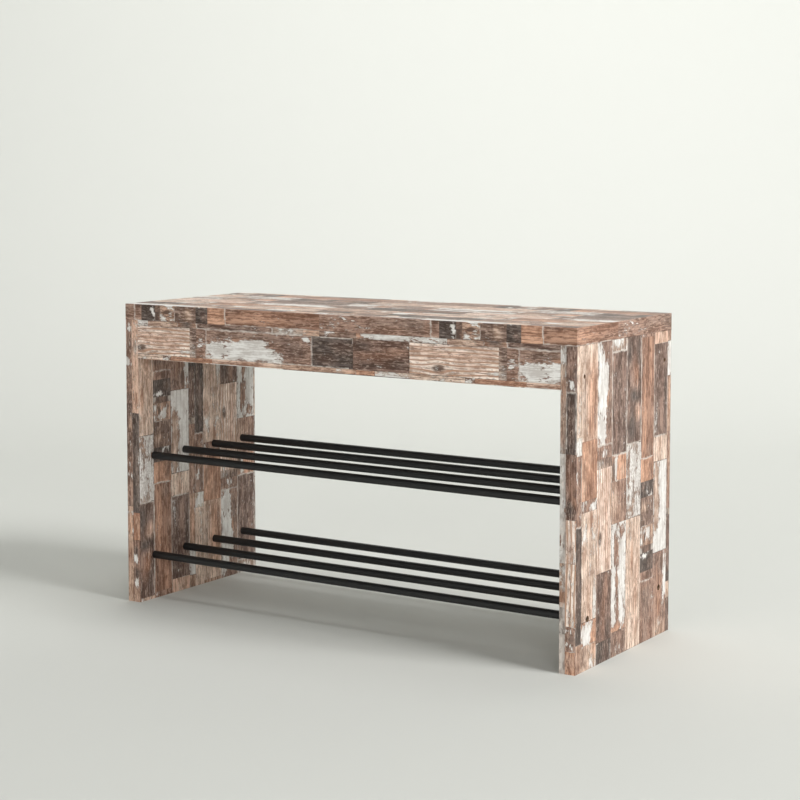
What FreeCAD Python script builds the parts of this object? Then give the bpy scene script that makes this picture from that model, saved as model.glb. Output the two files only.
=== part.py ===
import FreeCAD, Part

import os
import re

import Sketcher
from FreeCAD import Placement, Rotation, Vector

# Entryway bench with two open tiers of steel rods for shoes.
#
# A seat board lies on two side panels of the same thick laminated board. A front and a
# back apron run between the panels, under the seat. Four rods in each tier end in blind
# seats in the panels' inner faces. The outer rods of the lower tier are also bolted from
# outside, so they tie the panels together. Nothing on the bench moves.
#
# Millimetres. +X runs along the bench, the front faces -Y and +Z is up. The origin is at
# the middle of the footprint, on the floor. The bench is symmetric about X = 0 and Y = 0.

DIMENSIONS = {
    # Whole bench.
    "width": 800,
    "depth": 300,
    "height": 475,
    # Boards, and the edge bands glued round them.
    "board": 25,
    "band": 1,
    "band_round": 0.8,
    "apron_drop": 61,
    "apron_thick": 45,
    # Shoe rods. The inset is from the front or back edge to the nearest rod's middle.
    "rod_dia": 12,
    "rod_wall": 1,
    "rod_seat": 12,
    "seat_dia": 12.4,
    "rod_inset": 36,
    "rod_pitch": 76,
    "lower_tier": 71,
    "upper_tier": 231,
    # Plugs pressed into the bolted rods, and the bolts through the panels.
    "plug_length": 20,
    "bolt_dia": 5,
    "bolt_length": 20,
    "bolt_head_dia": 8.5,
    "bolt_head": 5,
    "bolt_bore": 9,
    "bolt_key": 4,
    # Screws from outside into the ends of the aprons.
    "screw_height": 407.5,
    "screw_dia": 4,
    "screw_length": 56,
    "screw_head_dia": 5.6,
    "screw_head": 4,
    "screw_bore": 6,
    "screw_key": 2.5,
    "screw_point": 5,
    # How far the heads of bolts and screws sit below the panel's outer face.
    "head_recess": 3,
    # Wooden dowels: one end in a board's face, the other in a board's edge.
    "dowel_dia": 8,
    "dowel_in_face": 13,
    "dowel_in_edge": 22,
    "dowel_bevel": 1,
    "apron_dowel_height": 434,
    "side_dowel_reach": 88,
    "apron_dowel_reach": 250,
    # Cam fittings that pull the seat board down on to the panels.
    "cam_dia": 15,
    "cam_length": 17.5,
    "cam_drop": 34,
    "cam_reach": 52,
    "cam_slot": 1.5,
    "cam_slot_length": 11,
    "cam_slot_deep": 1.5,
    "stud_dia": 5,
    "stud_thread": 6,
    "stud_thread_length": 11,
    "stud_head_dia": 7,
    "stud_head": 3,
    "stud_bore": 8,
}

# Signed placements, so that one function serves both ends and both long sides.
LEFT, RIGHT = -1, 1
FRONT, BACK = -1, 1

# Size that a sketch's geometry has before its constraints are solved.
ROUGH = 5

ALONG_X = Vector(1, 0, 0)
ALONG_Y = Vector(0, 1, 0)
UPRIGHT = Rotation()
# Turns a piece that was made along +Z so that it runs along +X.
LYING = Rotation(ALONG_Y, 90)
HALF_TURN = Rotation(Vector(0, 0, 1), 180)

doc = FreeCAD.newDocument("EntrywayBench")
sheet = doc.addObject("Spreadsheet::Sheet", "Dimensions")
for row, (alias, value) in enumerate(DIMENSIONS.items(), start=1):
    sheet.set(f"A{row}", alias)
    sheet.set(f"B{row}", str(value))
    sheet.setAlias(f"B{row}", alias)
doc.recompute()

nodes = []


# ---- Formulas -------------------------------------------------------------------------


def formula(text):
    """Point every dimension that a formula names at its cell in the sheet."""

    def cell(word):
        return f"Dimensions.{word[0]}" if word[0] in DIMENSIONS else word[0]

    return re.sub(r"[a-z_]+", cell, text)


def bind(item, **formulas):
    """Bind properties of an object to formulas."""
    for name, text in formulas.items():
        item.setExpression(name, formula(text))


def place(item, turn, x, y, z):
    """Give an object its rotation, and bind its position to three formulas."""
    item.Placement = Placement(Vector(), turn)
    for axis, text in zip("xyz", (x, y, z)):
        item.setExpression(f"Placement.Base.{axis}", formula(text))


def keep(item):
    """List an object as one of the bench's nodes, named by its label."""
    nodes.append(item)
    return item


# ---- Sketches -------------------------------------------------------------------------


def sketch_on(body, name, plane, shift="0"):
    """Start a sketch on an origin plane of its own body, moved along the plane's normal."""
    sketch = body.newObject("Sketcher::SketchObject", name)
    support = next(item for item in body.Origin.OriginFeatures if item.Role == plane)
    sketch.AttachmentSupport = [(support, "")]
    sketch.MapMode = "FlatFace"
    sketch.setExpression("AttachmentOffset.Base.z", formula(shift))
    return sketch


def measure(sketch, text, *constraint):
    """Add a driving constraint whose value is a formula."""
    index = sketch.addConstraint(Sketcher.Constraint(*constraint, ROUGH))
    sketch.setExpression(f"Constraints[{index}]", formula(text))


def fix_point(sketch, edge, point, right, up):
    """Fix a point of an edge at its distances from the sketch's two axes."""
    for text, kind, axis in ((right, "DistanceX", -2), (up, "DistanceY", -1)):
        if text == "0":
            sketch.addConstraint(Sketcher.Constraint("PointOnObject", edge, point, axis))
        else:
            measure(sketch, text, kind, -1, 1, edge, point)


def outline(sketch, corners):
    """Draw a closed polygon through corners given as pairs of formulas."""
    count = len(corners)
    rough = [Vector(ROUGH * (i % 3), ROUGH * i, 0) for i in range(count)]
    for i in range(count):
        sketch.addGeometry(Part.LineSegment(rough[i], rough[(i + 1) % count]))
    for i in range(count):
        sketch.addConstraint(Sketcher.Constraint("Coincident", i, 2, (i + 1) % count, 1))
    for i, (right, up) in enumerate(corners):
        fix_point(sketch, i, 1, right, up)


def circle(sketch, right, up, diameter):
    """Draw a circle whose middle and diameter are formulas."""
    edge = sketch.addGeometry(Part.Circle(Vector(ROUGH, ROUGH, 0), Vector(0, 0, 1), ROUGH))
    fix_point(sketch, edge, 3, right, up)
    measure(sketch, diameter, "Diameter", edge)


def hexagon(sketch, across_flats):
    """Draw a hexagon about the sketch's origin, from its width across the flats."""
    guide = sketch.addGeometry(Part.Circle(Vector(), Vector(0, 0, 1), ROUGH), True)
    sketch.addConstraint(Sketcher.Constraint("Coincident", guide, 3, -1, 1))
    measure(sketch, f"2 * {across_flats} / sqrt(3)", "Diameter", guide)
    corners = [Rotation(Vector(0, 0, 1), 60 * i).multVec(Vector(ROUGH, 0, 0)) for i in range(6)]
    first = guide + 1
    for i in range(6):
        sketch.addGeometry(Part.LineSegment(corners[i], corners[(i + 1) % 6]))
    for i in range(6):
        follow = first + (i + 1) % 6
        sketch.addConstraint(Sketcher.Constraint("Coincident", first + i, 2, follow, 1))
        sketch.addConstraint(Sketcher.Constraint("PointOnObject", first + i, 1, guide))
    for i in range(1, 6):
        sketch.addConstraint(Sketcher.Constraint("Equal", first, first + i))
    sketch.addConstraint(Sketcher.Constraint("PointOnObject", first, 1, -1))


# ---- Features -------------------------------------------------------------------------


def new_body(label):
    """An empty body whose label is its name."""
    body = doc.addObject("PartDesign::Body", label)
    body.Label = label
    return body


def block(label, along_x, along_y, along_z):
    """A rectangular board with its low corner at its own origin."""
    body = new_body(label)
    sketch = sketch_on(body, f"{label}_outline", "XY_Plane")
    outline(sketch, (("0", "0"), (along_x, "0"), (along_x, along_y), ("0", along_y)))
    pad = body.newObject("PartDesign::Pad", f"{label}_pad")
    pad.Profile = sketch
    bind(pad, Length=along_z)
    doc.recompute()
    return body


def cut(body, name, sketch, depth, along_normal):
    """Pocket a sketch, and make sure that the pocket took material away."""
    before = body.Shape.Volume
    pocket = body.newObject("PartDesign::Pocket", name)
    pocket.Profile = sketch
    pocket.Reversed = along_normal
    bind(pocket, Length=depth)
    doc.recompute()
    if not body.Shape.Volume < before:
        raise RuntimeError(f"{name} removes nothing")


def drill(body, name, plane, shift, middles, diameter, depth, along_normal):
    """Drill round holes from a plane of the body, with or against the plane's normal."""
    sketch = sketch_on(body, f"{body.Name}_{name}_circles", plane, shift)
    for right, up in middles:
        circle(sketch, right, up, diameter)
    cut(body, f"{body.Name}_{name}", sketch, depth, along_normal)


def turned(label, profile):
    """A turned piece about its own Z axis, from corners given as radius and height."""
    body = new_body(label)
    sketch = sketch_on(body, f"{label}_profile", "XZ_Plane")
    outline(sketch, profile)
    revolution = body.newObject("PartDesign::Revolution", f"{label}_turning")
    revolution.Profile = sketch
    revolution.ReferenceAxis = (sketch, ["V_Axis"])
    revolution.Angle = 360
    doc.recompute()
    return body


def key_socket(body, across_flats, head):
    """Sink a hexagon socket, half a head deep, into a head whose top is at Z = 0."""
    sketch = sketch_on(body, f"{body.Name}_key", "XY_Plane")
    hexagon(sketch, across_flats)
    cut(body, f"{body.Name}_socket", sketch, f"{head} / 2", True)


def mirror_image(source, normal):
    """A copy of an object, mirrored about the middle plane with this normal."""
    image = doc.addObject("Part::Mirroring", f"{source.Name}_mirror")
    image.Source = source
    image.Normal = normal
    return image


def at_both_sides(items):
    return items + [mirror_image(item, ALONG_Y) for item in items]


def at_both_ends(items):
    return items + [mirror_image(item, ALONG_X) for item in items]


def group(label, items):
    """Separate, identical pieces that share one node."""
    compound = doc.addObject("Part::Compound", label)
    compound.Label = label
    compound.Links = items
    return keep(compound)


# ---- Positions that several pieces share ----------------------------------------------

# From the core's front edge, which lies one band behind the bench's front.
PANEL_SCREWS_Y = ("apron_thick / 2 - band", "depth - apron_thick / 2 - band")
PANEL_RODS_Y = [f"rod_inset + {i} * rod_pitch - band" for i in range(4)]
PANEL_BOLTS_Y = (PANEL_RODS_Y[0], PANEL_RODS_Y[-1])
SIDE_DOWELS_Y = ("depth / 2 - side_dowel_reach - band", "depth / 2 + side_dowel_reach - band")
CAMS_Y = ("depth / 2 - cam_reach - band", "depth / 2 + cam_reach - band")

SEAT_UNDERSIDE = "height - board"
APRON_UNDERSIDE = "height - board - apron_drop"
APRON_CORE = "apron_drop - band"
APRON_MIDDLE_Y = "depth / 2 - apron_thick / 2"
INNER_FACE = "width / 2 - board"


# ---- Boards ---------------------------------------------------------------------------


def seat_board():
    """Seat board: its core carries the sockets for dowels and cam studs underneath."""
    body = block("top_board", "width - 2 * band", "depth - 2 * band", "board")
    place(body, UPRIGHT, "band - width / 2", "band - depth / 2", SEAT_UNDERSIDE)
    ends_x = ("board / 2 - band", "width - board / 2 - band")
    apron_x = [f"width / 2 + {i} * apron_dowel_reach - band" for i in (-1, 0, 1)]
    dowels = [(x, y) for x in ends_x for y in SIDE_DOWELS_Y]
    dowels += [(x, y) for x in apron_x for y in PANEL_SCREWS_Y]
    studs = [(x, y) for x in ends_x for y in CAMS_Y]
    drill(body, "dowel_holes", "XY_Plane", "0", dowels, "dowel_dia", "dowel_in_face", True)
    drill(body, "stud_holes", "XY_Plane", "0", studs, "stud_thread", "stud_thread_length", True)
    keep(body)


def side_panel(label, end):
    """Side panel: made with its inner face at X = 0 and its outer face at X = board."""
    body = block(label, "board", "depth - 2 * band", SEAT_UNDERSIDE)
    turn = UPRIGHT if end == RIGHT else HALF_TURN
    place(body, turn, f"{end} * ({INNER_FACE})", f"{end} * (band - depth / 2)", "0")

    seats = [(y, tier) for y in PANEL_RODS_Y for tier in ("lower_tier", "upper_tier")]
    bolts = [(y, "lower_tier") for y in PANEL_BOLTS_Y]
    screws = [(y, "screw_height") for y in PANEL_SCREWS_Y]
    dowels = [(y, "apron_dowel_height") for y in PANEL_SCREWS_Y]
    cams = [(y, "height - board - cam_drop") for y in CAMS_Y]
    bolt_deep = "head_recess + bolt_head"
    screw_deep = "head_recess + screw_head"

    # From the inner face.
    drill(body, "rod_seats", "YZ_Plane", "0", seats, "seat_dia", "rod_seat", True)
    drill(body, "end_dowel_holes", "YZ_Plane", "0", dowels, "dowel_dia", "dowel_in_face", True)
    drill(body, "cam_housings", "YZ_Plane", "0", cams, "cam_dia", "cam_length", True)
    # From the outer face.
    drill(body, "bolt_bores", "YZ_Plane", "board", bolts, "bolt_bore", bolt_deep, False)
    drill(body, "bolt_holes", "YZ_Plane", "board", bolts, "bolt_dia", "board", False)
    drill(body, "screw_bores", "YZ_Plane", "board", screws, "screw_bore", screw_deep, False)
    drill(body, "screw_holes", "YZ_Plane", "board", screws, "screw_dia", "board", False)
    # From the top edge, in the middle of the board's thickness.
    dowels = [("board / 2", y) for y in SIDE_DOWELS_Y]
    studs = [("board / 2", y) for y in CAMS_Y]
    edge = SEAT_UNDERSIDE
    drill(body, "edge_dowels", "XY_Plane", edge, dowels, "dowel_dia", "dowel_in_edge", False)
    drill(body, "edge_studs", "XY_Plane", edge, studs, "stud_bore", "cam_drop", False)
    keep(body)


def apron(label, side):
    """Apron: a thick rail between the panels, under the front or back of the seat."""
    length = "width - 2 * board"
    body = block(label, length, "apron_thick", APRON_CORE)
    low_y = "-depth / 2" if side == FRONT else "depth / 2 - apron_thick"
    place(body, UPRIGHT, f"-({INNER_FACE})", low_y, f"{APRON_UNDERSIDE} + band")

    bottom = f"({APRON_UNDERSIDE} + band)"
    screws = [("apron_thick / 2", f"screw_height - {bottom}")]
    dowels = [("apron_thick / 2", f"apron_dowel_height - {bottom}")]
    screw_deep = "head_recess + screw_head + screw_length - board"
    for name, shift, inward in (("left", "0", True), ("right", length, False)):
        for kind, middles, diameter, depth in (
            ("screw_hole", screws, "screw_dia", screw_deep),
            ("dowel_hole", dowels, "dowel_dia", "dowel_in_edge"),
        ):
            drill(body, f"{name}_{kind}", "YZ_Plane", shift, middles, diameter, depth, inward)
    apron_x = [f"width / 2 - board + {i} * apron_dowel_reach" for i in (-1, 0, 1)]
    middles = [(x, "apron_thick / 2") for x in apron_x]
    drill(body, "top_dowels", "XY_Plane", APRON_CORE, middles, "dowel_dia", "dowel_in_edge", False)
    keep(body)


# ---- Edge bands -----------------------------------------------------------------------


def edge_band(label, sizes, corner, outward):
    """A thin strip glued to a board's edge, with the edges of its outer face rounded.

    sizes and corner are formulas for its three sides and its low corner. outward is the
    direction that its outer face looks in.
    """
    body = block(label, *sizes)
    pad = body.Tip
    box = pad.Shape.BoundBox
    outer_face = max(pad.Shape.Faces, key=lambda face: face.CenterOfMass.dot(outward))
    long_edges = []
    for number, edge in enumerate(pad.Shape.Edges, start=1):
        on_outer_face = any(edge.isSame(other) for other in outer_face.Edges)
        if on_outer_face and edge.Length > box.DiagonalLength / 2:
            long_edges.append(f"Edge{number}")
    fillet = body.newObject("PartDesign::Fillet", f"{label}_rounding")
    fillet.Base = (pad, long_edges)
    bind(fillet, Radius="band_round")
    place(body, UPRIGHT, *corner)
    keep(body)


def seat_bands():
    """The long bands run the full width, and the end bands fit between them."""
    ends = "depth - 2 * band"
    for name, side in (("front", FRONT), ("back", BACK)):
        low_y = "-depth / 2" if side == FRONT else "depth / 2 - band"
        sizes = ("width", "band", "board")
        edge_band(f"top_{name}_band", sizes, ("-width / 2", low_y, SEAT_UNDERSIDE), ALONG_Y * side)
    for name, end in (("left", LEFT), ("right", RIGHT)):
        low_x = "-width / 2" if end == LEFT else "width / 2 - band"
        corner = (low_x, "band - depth / 2", SEAT_UNDERSIDE)
        edge_band(f"top_{name}_band", ("band", ends, "board"), corner, ALONG_X * end)


def panel_bands(end_name, end):
    """Bands up the front and back edges of one side panel."""
    for name, side in (("front", FRONT), ("back", BACK)):
        low_x = "-width / 2" if end == LEFT else INNER_FACE
        low_y = "-depth / 2" if side == FRONT else "depth / 2 - band"
        sizes = ("board", "band", SEAT_UNDERSIDE)
        edge_band(f"{end_name}_{name}_band", sizes, (low_x, low_y, "0"), ALONG_Y * side)


def apron_bands():
    """Bands under the lower edges of the two aprons."""
    for name, side in (("front", FRONT), ("back", BACK)):
        low_y = "-depth / 2" if side == FRONT else "depth / 2 - apron_thick"
        corner = (f"-({INNER_FACE})", low_y, APRON_UNDERSIDE)
        sizes = ("width - 2 * board", "apron_thick", "band")
        edge_band(f"{name}_apron_band", sizes, corner, Vector(0, 0, -1))


# ---- Rods and their fixings -----------------------------------------------------------


def rod(label, index, tier):
    """A round steel tube from the bottom of one panel's seat to the other's."""
    wall, bore = (doc.addObject("Part::Cylinder", f"{label}_{name}") for name in ("wall", "bore"))
    for tube, radius in ((wall, "rod_dia / 2"), (bore, "rod_dia / 2 - rod_wall")):
        bind(tube, Radius=radius, Height="width - 2 * board + 2 * rod_seat")
        y = f"rod_inset + {index} * rod_pitch - depth / 2"
        place(tube, LYING, "board - rod_seat - width / 2", y, tier)
    tube = doc.addObject("Part::Cut", label)
    tube.Label = label
    tube.Base, tube.Tool = wall, bore
    keep(tube)


def rod_plugs():
    """Threaded plugs in the ends of the lower tier's front and back rods."""
    outer, inner = "rod_dia / 2 - rod_wall", "bolt_dia / 2"
    profile = ((inner, "0"), (outer, "0"), (outer, "plug_length"), (inner, "plug_length"))
    plug = turned("rod_plug", profile)
    rod_end = f"{INNER_FACE} + rod_seat"
    place(plug, LYING, f"{rod_end} - plug_length", "depth / 2 - rod_inset", "lower_tier")
    group("rod_plugs", at_both_ends(at_both_sides([plug])))


def headed(label, head, shank, key):
    """A bolt or a screw along +Z, with the top of its cylindrical head at Z = 0.

    head is its diameter and length, and shank its diameter, length and length of point.
    """
    (head_dia, head_length), (dia, length, point) = head, shank
    body = turned(label, (
        ("0", "0"),
        (f"{head_dia} / 2", "0"),
        (f"{head_dia} / 2", head_length),
        (f"{dia} / 2", head_length),
        (f"{dia} / 2", f"{head_length} + {length} - {point}"),
        (f"{dia} / 4", f"{head_length} + {length}"),
        ("0", f"{head_length} + {length}"),
    ))
    key_socket(body, key, head_length)
    return body


def rod_bolts():
    """Socket-head bolts from outside through the panels into the rods' plugs."""
    head = ("bolt_head_dia", "bolt_head")
    bolt = headed("rod_bolt", head, ("bolt_dia", "bolt_length", "1"), "bolt_key")
    outside = "width / 2 - head_recess"
    place(bolt, Rotation(ALONG_Y, -90), outside, "depth / 2 - rod_inset", "lower_tier")
    group("rod_bolts", at_both_ends(at_both_sides([bolt])))


def apron_screws():
    """Small-headed wood screws from outside into the ends of the aprons."""
    head = ("screw_head_dia", "screw_head")
    shank = ("screw_dia", "screw_length", "screw_point")
    screw = headed("apron_screw", head, shank, "screw_key")
    outside = "width / 2 - head_recess"
    place(screw, Rotation(ALONG_Y, -90), outside, APRON_MIDDLE_Y, "screw_height")
    group("apron_screws", at_both_ends(at_both_sides([screw])))


# ---- Dowels and cam fittings ----------------------------------------------------------


def dowel(label, turn, x, y, z):
    """A wooden dowel with bevelled ends, whose lower or inner end is at the given place."""
    radius, bevel = "dowel_dia / 2", "dowel_bevel"
    length = "dowel_in_face + dowel_in_edge"
    body = turned(label, (
        ("0", "0"),
        (f"{radius} - {bevel}", "0"),
        (radius, bevel),
        (radius, f"{length} - {bevel}"),
        (f"{radius} - {bevel}", length),
        ("0", length),
    ))
    place(body, turn, x, y, z)
    return body


def dowels():
    """Dowels between the aprons and the panels, and between all of these and the seat."""
    low_x = f"{INNER_FACE} - dowel_in_edge"
    low_z = f"{SEAT_UNDERSIDE} - dowel_in_edge"
    panel_middle = "width / 2 - board / 2"
    end = dowel("end_dowel", LYING, low_x, APRON_MIDDLE_Y, "apron_dowel_height")
    side = dowel("side_dowel", UPRIGHT, panel_middle, "side_dowel_reach", low_z)
    outer = dowel("outer_dowel", UPRIGHT, "apron_dowel_reach", APRON_MIDDLE_Y, low_z)
    middle = dowel("middle_dowel", UPRIGHT, "0", APRON_MIDDLE_Y, low_z)
    group("apron_end_dowels", at_both_ends(at_both_sides([end])))
    group("top_side_dowels", at_both_ends(at_both_sides([side])))
    group("top_apron_dowels", at_both_ends(at_both_sides([outer])) + at_both_sides([middle]))


def cam_nuts():
    """Cams in the panels' inner faces, each with a driver slot and a way in for its stud."""
    body = turned("cam_nut", (
        ("0", "0"),
        ("cam_dia / 2", "0"),
        ("cam_dia / 2", "cam_length"),
        ("0", "cam_length"),
    ))
    # The cam is made with its slotted face at Z = 0 and turned to lie along +X, which
    # brings its own -X side to the top.
    slots = sketch_on(body, "cam_slots", "XY_Plane")
    arm, thin = "cam_slot_length / 2", "cam_slot / 2"
    cross = (
        (arm, thin), (thin, thin), (thin, arm), (f"-{thin}", arm), (f"-{thin}", thin),
        (f"-{arm}", thin), (f"-{arm}", f"-{thin}"), (f"-{thin}", f"-{thin}"),
        (f"-{thin}", f"-{arm}"), (thin, f"-{arm}"), (thin, f"-{thin}"), (arm, f"-{thin}"),
    )
    outline(slots, cross)
    cut(body, "cam_cross", slots, "cam_slot_deep", True)
    way_in = sketch_on(body, "cam_way_in", "YZ_Plane", "-cam_dia / 2")
    circle(way_in, "0", "board / 2", "stud_bore")
    cut(body, "cam_stud_hole", way_in, "cam_dia / 2 + stud_bore / 2", True)
    place(body, LYING, INNER_FACE, "cam_reach", "height - board - cam_drop")
    group("cam_nuts", at_both_ends(at_both_sides([body])))


def cam_studs():
    """Studs screwed up into the seat board, whose heads the cams draw down."""
    head, shaft, thread = "stud_head_dia / 2", "stud_dia / 2", "stud_thread / 2"
    collar = "cam_drop + stud_head / 2"
    top = f"{collar} + stud_thread_length"
    body = turned("cam_stud", (
        ("0", "0"),
        (head, "0"),
        (head, "stud_head"),
        (shaft, "stud_head"),
        (shaft, collar),
        (thread, collar),
        (thread, top),
        ("0", top),
    ))
    bottom = f"{SEAT_UNDERSIDE} - ({collar})"
    place(body, UPRIGHT, "width / 2 - board / 2", "cam_reach", bottom)
    group("cam_studs", at_both_ends(at_both_sides([body])))


# ---- Assembly -------------------------------------------------------------------------

seat_board()
side_panel("left_side_panel", LEFT)
side_panel("right_side_panel", RIGHT)
apron("front_apron", FRONT)
apron("back_apron", BACK)
seat_bands()
panel_bands("left", LEFT)
panel_bands("right", RIGHT)
apron_bands()
for tier in ("lower", "upper"):
    for index in range(4):
        rod(f"{tier}_rod_{index + 1}", index, f"{tier}_tier")
rod_plugs()
rod_bolts()
apron_screws()
dowels()
cam_nuts()
cam_studs()
doc.recompute()

for item in doc.Objects:
    if {"Invalid", "Error"} & set(item.State):
        raise RuntimeError(f"{item.Label} failed: {item.State}")

os.makedirs("parts", exist_ok=True)
for node in nodes:
    if node.Shape.isNull() or not node.Shape.isValid():
        raise RuntimeError(f"{node.Label} has no valid shape")
    node.Shape.exportStep(f"parts/{node.Label}.step")
    bounds = node.Shape.BoundBox
    print(f"{node.Label:20s} solids {len(node.Shape.Solids)}"
          f"  X {bounds.XMin:8.2f} {bounds.XMax:8.2f}"
          f"  Y {bounds.YMin:8.2f} {bounds.YMax:8.2f}"
          f"  Z {bounds.ZMin:8.2f} {bounds.ZMax:8.2f}")
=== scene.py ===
"""Looks of an entryway bench: boards with a printed plank decor, black rods, and a studio."""

import math
from collections import namedtuple

import bpy
import numpy as np
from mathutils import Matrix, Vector, noise


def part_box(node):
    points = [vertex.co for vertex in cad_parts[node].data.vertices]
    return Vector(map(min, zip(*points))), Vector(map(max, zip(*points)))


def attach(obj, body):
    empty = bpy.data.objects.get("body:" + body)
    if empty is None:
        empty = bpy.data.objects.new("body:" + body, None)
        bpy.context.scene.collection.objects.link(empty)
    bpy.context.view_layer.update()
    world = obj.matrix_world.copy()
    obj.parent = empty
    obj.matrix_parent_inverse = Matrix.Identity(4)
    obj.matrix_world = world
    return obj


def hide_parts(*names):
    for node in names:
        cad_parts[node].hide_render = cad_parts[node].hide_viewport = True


MM = 0.001
BODY = "root"

# ---------------------------------------------------------------------------
# The printed decor: rows of planks, repeated along and across the grain, in mm
# ---------------------------------------------------------------------------

REPEAT_ALONG = 549.0
REPEAT_ACROSS = 308.0

# A finish is a tone in sRGB, how strong its grain is, how much old paint lies on it, how crackled
# that is, and how strongly growth rings show.
Finish = namedtuple("Finish", "tone grain paint crackle rings", defaults=(0.0,))
FINISHES = {
    "pine": Finish((215, 191, 174), 0.75, 0.14, 0.0),
    "grained_pine": Finish((226, 207, 194), 0.9, 0.14, 0.0, 0.9),
    "pale_tan": Finish((202, 174, 155), 1.0, 0.24, 0.0),
    "tan": Finish((180, 148, 128), 1.3, 0.18, 0.0),
    "orange": Finish((194, 149, 123), 1.0, 0.08, 0.0),
    "pink_tan": Finish((206, 170, 149), 0.8, 0.18, 0.0),
    "reddish": Finish((153, 115, 95), 1.0, 0.10, 0.0),
    "brown": Finish((152, 120, 104), 1.5, 0.16, 0.0),
    "grey_brown": Finish((136, 111, 98), 1.5, 0.18, 0.0),
    "dark": Finish((116, 93, 83), 1.6, 0.15, 0.0),
    "rusty_dark": Finish((118, 91, 79), 1.7, 0.15, 0.0),
    "deep_dark": Finish((86, 73, 67), 1.2, 0.05, 0.0),
    "flaked": Finish((154, 120, 102), 1.0, 0.68, 0.2),
    "crackled": Finish((158, 134, 119), 1.0, 0.72, 0.7),
    "cream": Finish((214, 197, 180), 0.8, 0.45, 0.0),
    "grey": Finish((180, 164, 153), 1.0, 0.44, 0.2),
    # These change only the paint, and leave the wood's own tone.
    "paint": Finish(None, None, 0.95, None, None),
    "specks": Finish(None, None, 0.42, None, None),
    "bare": Finish(None, None, 0.05, None, None),
}

# A plank starts at a place along the grain and ends where the next one starts. Its joints are
# whitish, pale, dark or hidden. A mark is a soft oval on it: place along and across, half sizes,
# finish and strength. A knot is its place along and across and its radius.
WHITISH, PALE, DARK, HIDDEN = 1.0, 0.5, 0.0, -1.0
Plank = namedtuple("Plank", "start finish joint marks knots", defaults=(DARK, (), ()))
Mark = namedtuple("Mark", "along across half_along half_across finish strength", defaults=(1.0,))
Row = namedtuple("Row", "low high planks")

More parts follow.
